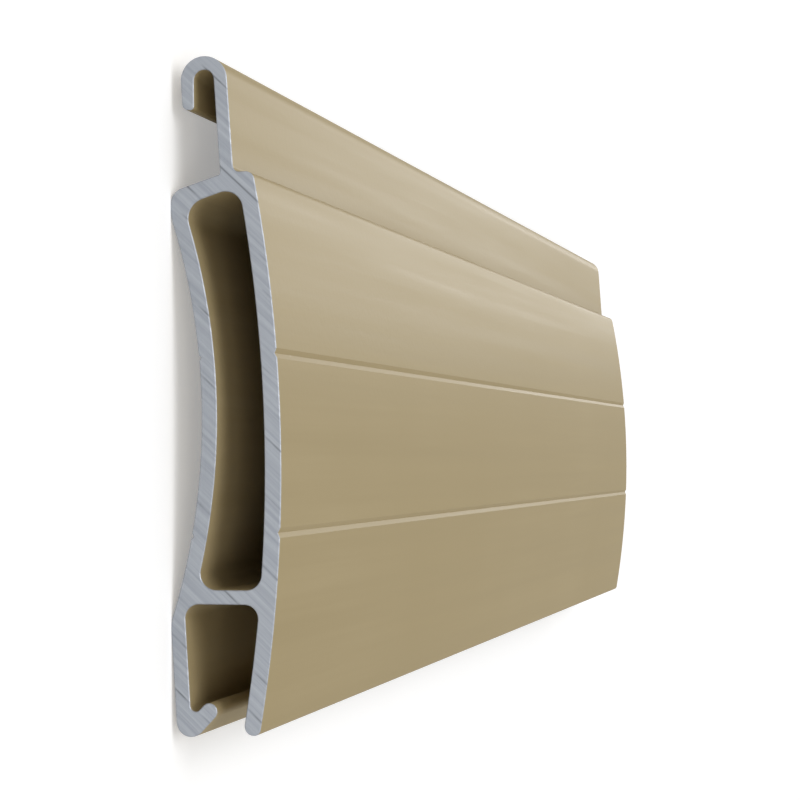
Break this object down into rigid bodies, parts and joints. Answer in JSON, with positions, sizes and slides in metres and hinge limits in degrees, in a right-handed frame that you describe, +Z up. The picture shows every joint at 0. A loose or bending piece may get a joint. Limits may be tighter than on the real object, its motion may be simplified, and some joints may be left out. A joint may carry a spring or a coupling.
{
  "type": "roller door slat",
  "caption": "Short cut length of curved hollow extruded aluminium roller door slat, with a hook along one edge, a lipped channel along the other and two fine grooves in its face.",
  "frame": {"origin": "centre of the bounding box in plan, on the plane of the two lands that the slat lies on", "axes": "+X along the extrusion, +Y across it towards the hook, +Z up out of the front face"},
  "size_m": [0.2, 0.0534, 0.009],
  "materials": {
    "slat": "satin beige powder coat inside and out, with bare saw-cut ends"
  },
  "bodies": {
    "root": {"slat": "slat"}
  },
  "joints": []
}
